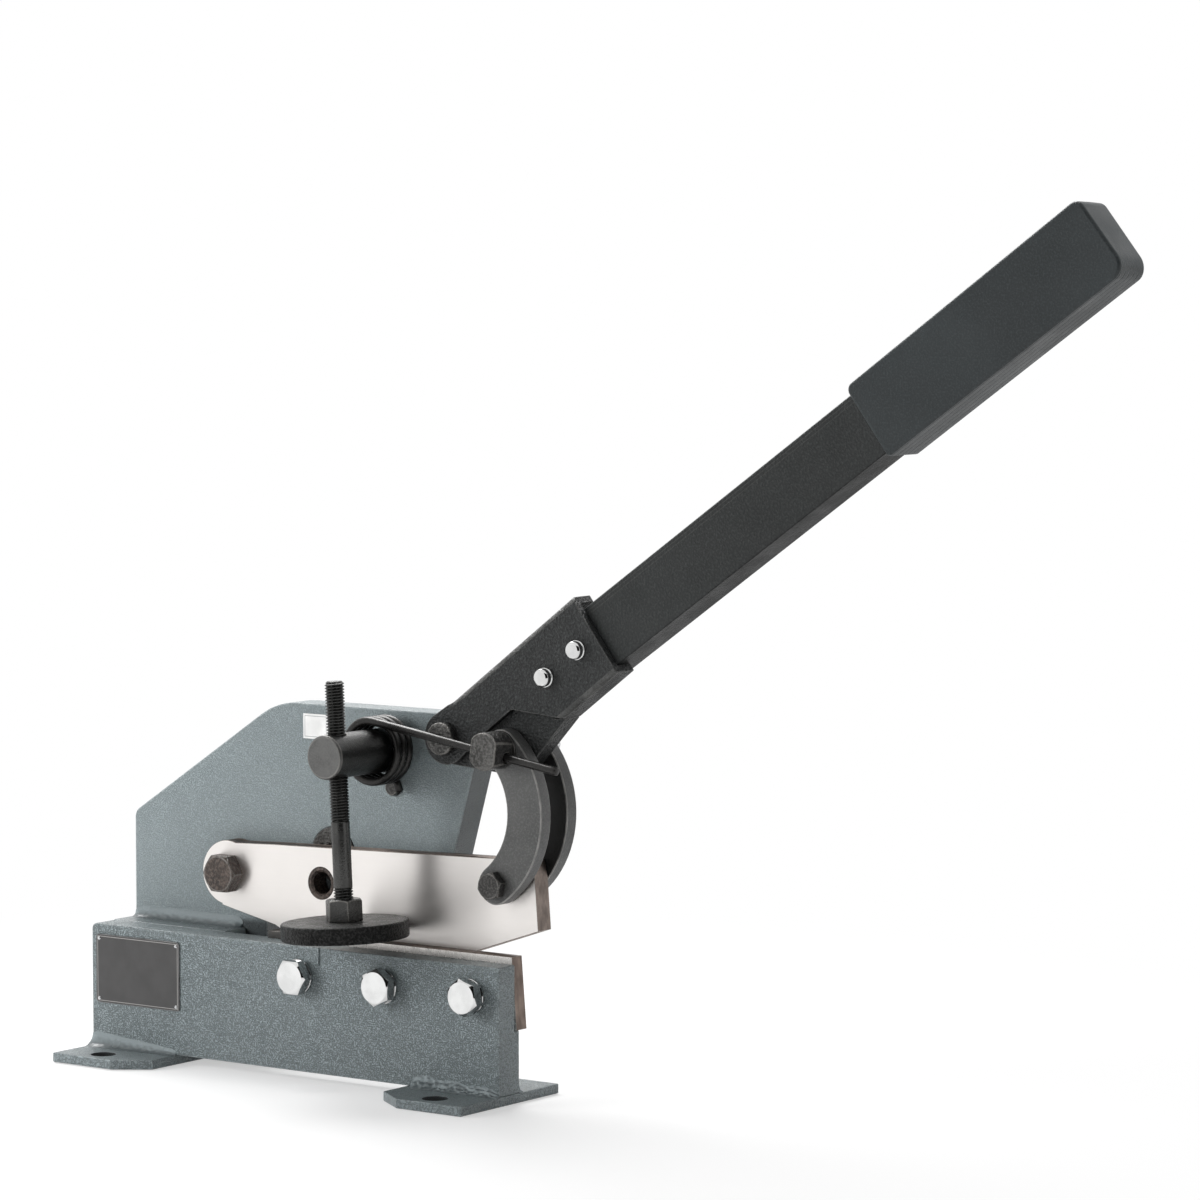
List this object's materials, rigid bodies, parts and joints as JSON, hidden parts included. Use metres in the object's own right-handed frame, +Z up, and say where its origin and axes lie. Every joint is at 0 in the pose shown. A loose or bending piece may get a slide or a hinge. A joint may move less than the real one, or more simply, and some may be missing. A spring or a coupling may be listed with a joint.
{
  "type": "bench lever shear",
  "caption": "Bench lever shear with a grey two-plate frame, pivoting upper blade, crescent links, long handle, return spring and screw hold-down",
  "frame": {"origin": "middle of the two front foot holes, on the underside of the feet", "axes": "+X along the base toward the lever, +Y from the working side to the rear, +Z up"},
  "size_m": [0.6081, 0.111, 0.4462],
  "materials": {
    "paint": "grey hammer-like orange-peel paint",
    "black_paint": "satin black powder coat",
    "black_oxide": "black oxide",
    "ground_steel": "ground bright steel",
    "dark_steel": "dark hardened steel",
    "zinc": "zinc plated",
    "chrome": "bright plated",
    "grip_plastic": "satin dark plastic",
    "dark_label": "dark plate without words",
    "white_label": "white label without words"
  },
  "bodies": {
    "frame": {"front_plate": "paint", "rear_plate": "paint", "shelf_spacer": "paint", "left_foot": "paint", "right_foot": "paint", "weld_beads": "paint", "lower_blade": "ground_steel", "blade_bolts": "zinc", "blade_bolt_washers": "zinc", "rating_plate": "dark_label", "plate_rivets": "zinc", "blank_label": "white_label", "plate_bush": "ground_steel", "clamp_boss": "black_oxide", "stop_pin": "black_oxide", "torsion_spring": "black_oxide", "lever_pivot_bolt": "black_oxide", "blade_pivot_bolt": "black_oxide", "rear_nuts": "zinc", "rear_washers": "zinc", "pivot_washers": "dark_steel"},
    "lever": {"lever_bracket": "black_paint", "lever_plate": "black_paint", "anchor_bolt": "black_oxide", "anchor_washer": "black_oxide", "anchor_nut": "zinc", "lever_bolts": "chrome", "lever_bolt_nuts": "zinc", "lever_bar": "black_paint", "grip": "grip_plastic"},
    "links": {"front_link": "black_paint", "rear_link": "black_paint", "link_bolt": "black_oxide", "link_nut": "zinc"},
    "upper_blade": {"upper_blade": "ground_steel", "blade_bush": "dark_steel"},
    "clamp_foot": {"clamp_foot": "black_oxide"},
    "clamp_screw": {"clamp_screw": "black_oxide", "clamp_nut": "black_oxide"}
  },
  "joints": [
    {"name": "lever_pivot", "type": "hinge", "parent": "frame", "child": "lever", "pos_m": [0.088, 0.047, 0.1802], "axis": [0, -1, 0], "range_deg": [-18, 70], "stiffness_Nm_per_rad": 2.5, "springref_deg": 54.43, "deforming": ["torsion_spring"]},
    {"name": "blade_pivot", "type": "hinge", "parent": "frame", "child": "upper_blade", "pos_m": [-0.0595, 0.047, 0.1003], "axis": [0, -1, 0], "range_deg": [-3.5, 13.5]},
    {"name": "link_pivot", "type": "hinge", "parent": "lever", "child": "links", "pos_m": [0.127, 0.047, 0.1774], "axis": [0, -1, 0], "range_deg": [-60.6, 15.6]},
    {"name": "hold_down_slide", "type": "slide", "parent": "frame", "child": "clamp_foot", "axis": [-0.0506, 0, 0.9987], "range_m": [-0.003, 0.022]},
    {"name": "screw_spin", "type": "hinge", "parent": "clamp_foot", "child": "clamp_screw", "pos_m": [0.0432, 0.0065, 0.1711], "axis": [-0.0506, 0, 0.9987], "range_deg": [-722, 5284]}
  ],
  "couplings": [
    {"joint": "blade_pivot", "follows": "lever_pivot", "ratio": 0.192},
    {"joint": "link_pivot", "follows": "lever_pivot", "ratio": -0.865},
    {"joint": "screw_spin", "follows": "hold_down_slide", "rad_per_m": 4188.8}
  ]
}
